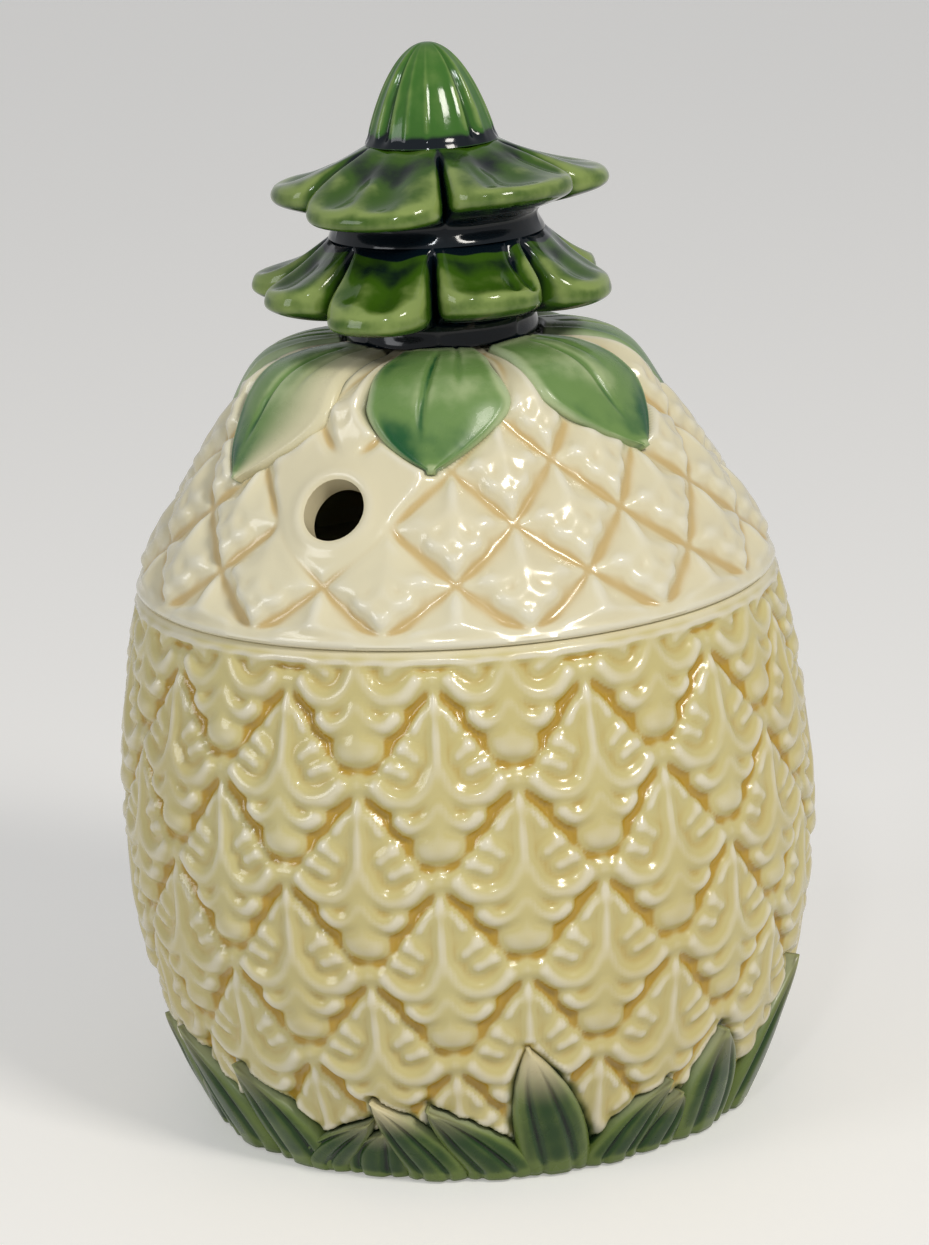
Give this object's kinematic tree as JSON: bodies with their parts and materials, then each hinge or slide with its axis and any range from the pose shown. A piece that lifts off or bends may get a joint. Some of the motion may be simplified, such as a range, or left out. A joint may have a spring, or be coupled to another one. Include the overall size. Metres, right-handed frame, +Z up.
{
  "type": "lidded pineapple mug",
  "caption": "Glazed ceramic jar mug in the form of a pineapple, with eye relief, foot leaves and a lift-off domed lid that has a straw hole and a leafy crown.",
  "frame": {"origin": "on the table, at the centre of the foot ring, on the axis of the mug", "axes": "+Z up along the axis of the mug, -Y towards the straw hole, +X to the right of the straw hole seen from in front"},
  "size_m": [0.1152, 0.115, 0.176],
  "materials": {
    "cream_glaze": "glossy cream glaze with amber pooling",
    "foot_leaf_glaze": "glossy dark green glaze, pale on the edges",
    "dome_leaf_glaze": "glossy mid green glaze, pale on the edges",
    "crown_glaze": "very glossy deep green glaze, near black where it pools"
  },
  "bodies": {
    "cup": {"cup_body": "cream_glaze", "foot_leaf_band": "foot_leaf_glaze"},
    "lid_seat": {"lid_locating_ring": "cream_glaze"},
    "lid": {"lid_dome": "cream_glaze", "dome_leaf_1": "dome_leaf_glaze", "dome_leaf_2": "dome_leaf_glaze", "dome_leaf_3": "dome_leaf_glaze", "dome_leaf_4": "dome_leaf_glaze", "dome_leaf_5": "dome_leaf_glaze", "dome_leaf_6": "dome_leaf_glaze", "dome_leaf_7": "dome_leaf_glaze", "crown_lower_tier": "crown_glaze", "crown_upper_tier": "crown_glaze", "crown_bud": "crown_glaze"}
  },
  "joints": [
    {"name": "lid_lift", "type": "slide", "parent": "cup", "child": "lid_seat", "axis": [0, 0, 1], "range_m": [0, 0.05]},
    {"name": "lid_turn", "type": "hinge", "parent": "lid_seat", "child": "lid", "pos_m": [0, 0, 0.0894], "axis": [0, 0, 1], "continuous": true}
  ]
}
